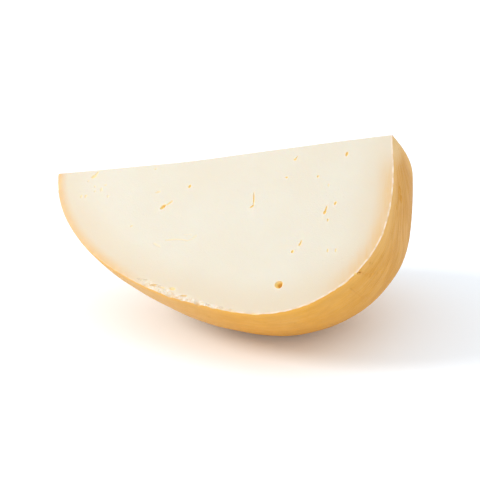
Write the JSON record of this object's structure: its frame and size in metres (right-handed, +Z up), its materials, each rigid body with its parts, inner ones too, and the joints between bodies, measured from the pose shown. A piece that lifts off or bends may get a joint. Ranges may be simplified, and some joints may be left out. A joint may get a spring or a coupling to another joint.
{
  "type": "provolone",
  "caption": "Lengthwise wedge of a round provolone cheese, two flat cut faces with small eyes and a golden rind, lying on its rind.",
  "frame": {"origin": "centre of the bounding box's underside, on the surface that the wedge lies on", "axes": "+X along the cheese, towards its blunt raised end; +Y from the shown cut face to the hidden one; +Z up"},
  "size_m": [0.1848, 0.1442, 0.1049],
  "materials": {
    "cheese": "satin ivory paste with a golden rind"
  },
  "bodies": {
    "root": {"provolone_wedge": "cheese"}
  },
  "joints": []
}
